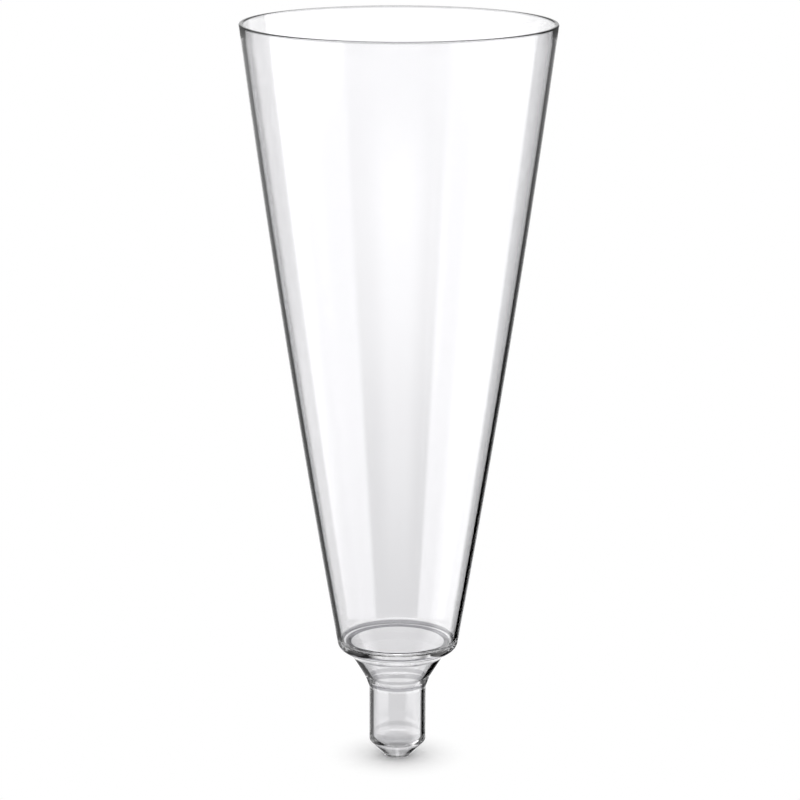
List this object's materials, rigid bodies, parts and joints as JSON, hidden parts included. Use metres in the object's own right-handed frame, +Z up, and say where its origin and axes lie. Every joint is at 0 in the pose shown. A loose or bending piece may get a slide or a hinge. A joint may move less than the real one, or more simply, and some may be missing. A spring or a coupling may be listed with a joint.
{
  "type": "stemless plastic flute",
  "caption": "Tall, slender conical drinking cup of clear moulded plastic with a hollow plug under its shoulder that pushes into a separate foot.",
  "frame": {"origin": "centre of the flat at the tip of the plug, the lowest point of the piece", "axes": "+Z up along the axis of the bowl, from the plug to the rim; X and Y are alike, because the piece is round"},
  "size_m": [0.0582, 0.058, 0.14],
  "materials": {
    "clear_plastic": "clear, polished, with a faint cool tint in its edges"
  },
  "bodies": {
    "root": {"flute": "clear_plastic"}
  },
  "joints": []
}
